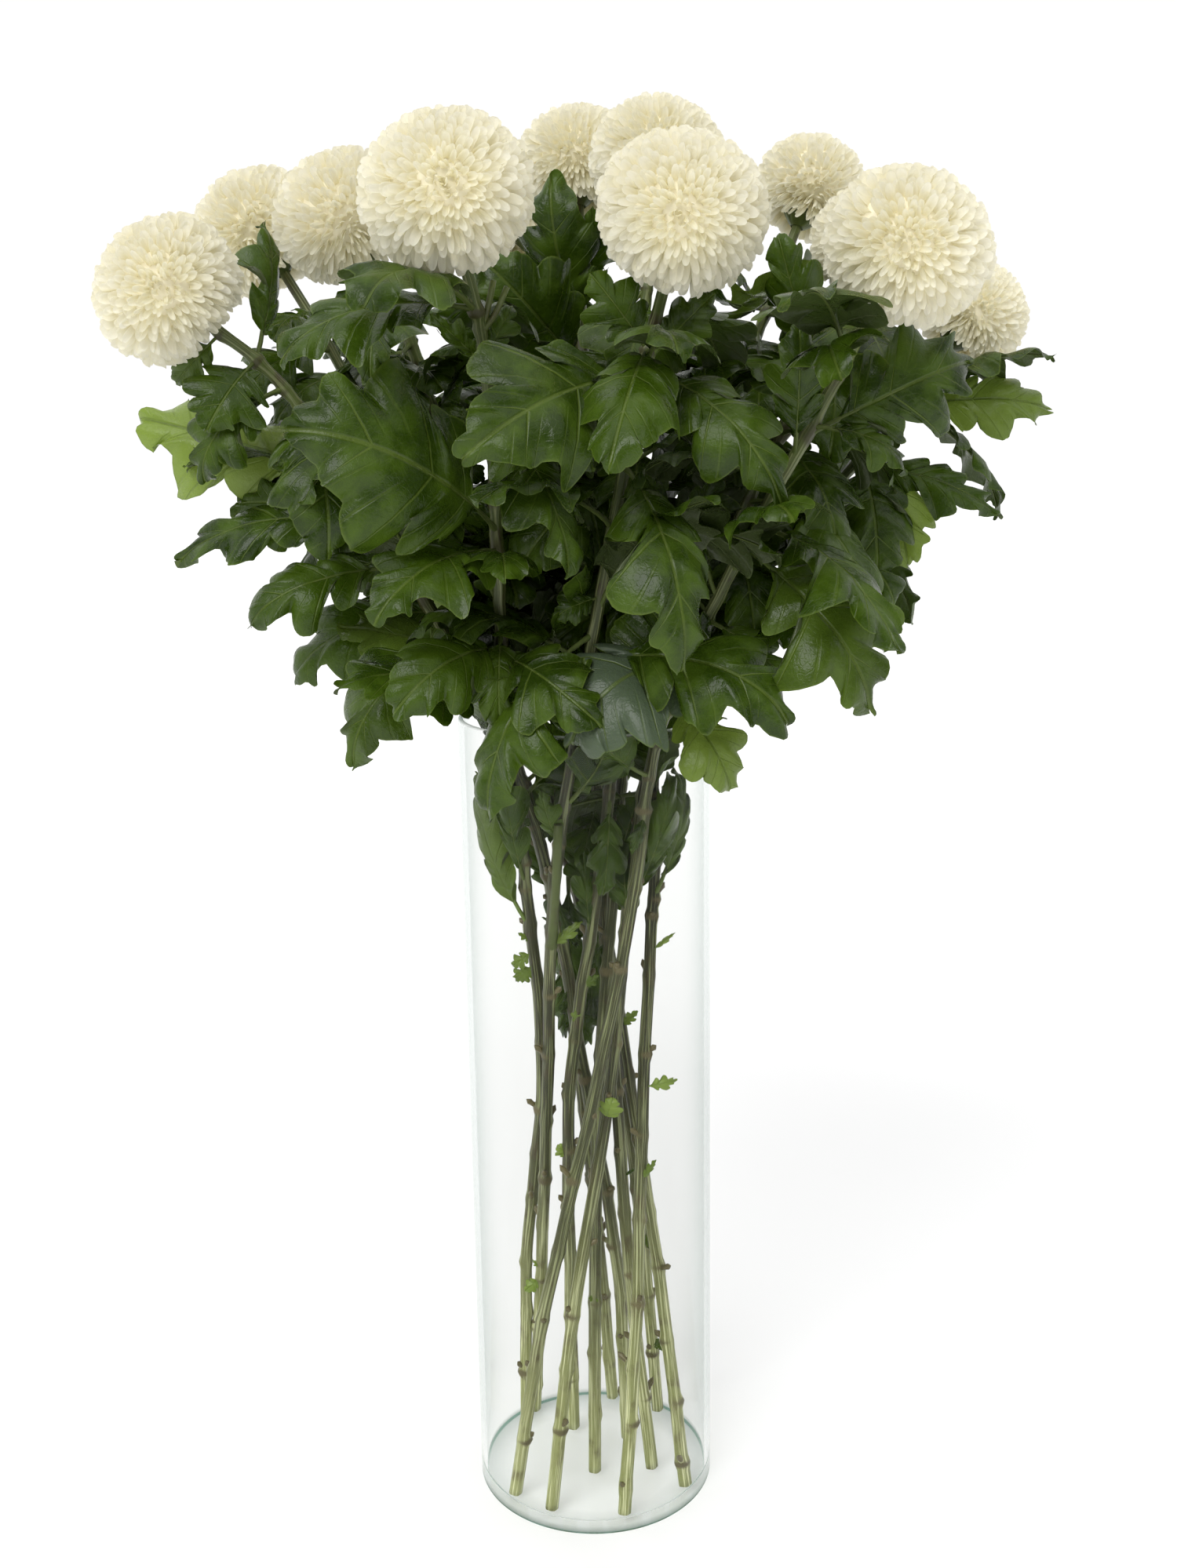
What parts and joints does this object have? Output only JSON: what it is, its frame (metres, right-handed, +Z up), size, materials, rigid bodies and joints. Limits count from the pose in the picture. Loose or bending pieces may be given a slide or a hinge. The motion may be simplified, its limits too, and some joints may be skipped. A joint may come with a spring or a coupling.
{
  "type": "ball chrysanthemums in a glass vase",
  "caption": "Long-stemmed cream ball chrysanthemums with lobed green leaves, standing in a tall straight glass cylinder vase.",
  "frame": {"origin": "centre of the vase's flat underside", "axes": "+Z up along the vase, -Y towards the side that the picture shows, +X to its right"},
  "size_m": [0.5552, 0.4144, 0.8637],
  "materials": {
    "glass": "polished",
    "petals": "matte",
    "leaves": "satin"
  },
  "bodies": {
    "root": {"vase": "glass", "bloom_a": "petals", "bloom_b": "petals", "bloom_c": "petals", "bloom_d": "petals", "bloom_e": "petals", "bloom_f": "petals", "bloom_g": "petals", "bloom_h": "petals", "bloom_i": "petals", "bloom_j": "petals", "bloom_k": "petals", "bloom_l": "petals", "leafy_stem_a": "leaves", "leafy_stem_b": "leaves", "leafy_stem_c": "leaves", "leafy_stem_d": "leaves", "leafy_stem_e": "leaves", "leafy_stem_f": "leaves", "leafy_stem_g": "leaves", "leafy_stem_h": "leaves", "leafy_stem_i": "leaves", "leafy_stem_j": "leaves", "leafy_stem_k": "leaves", "leafy_stem_l": "leaves"}
  },
  "joints": []
}
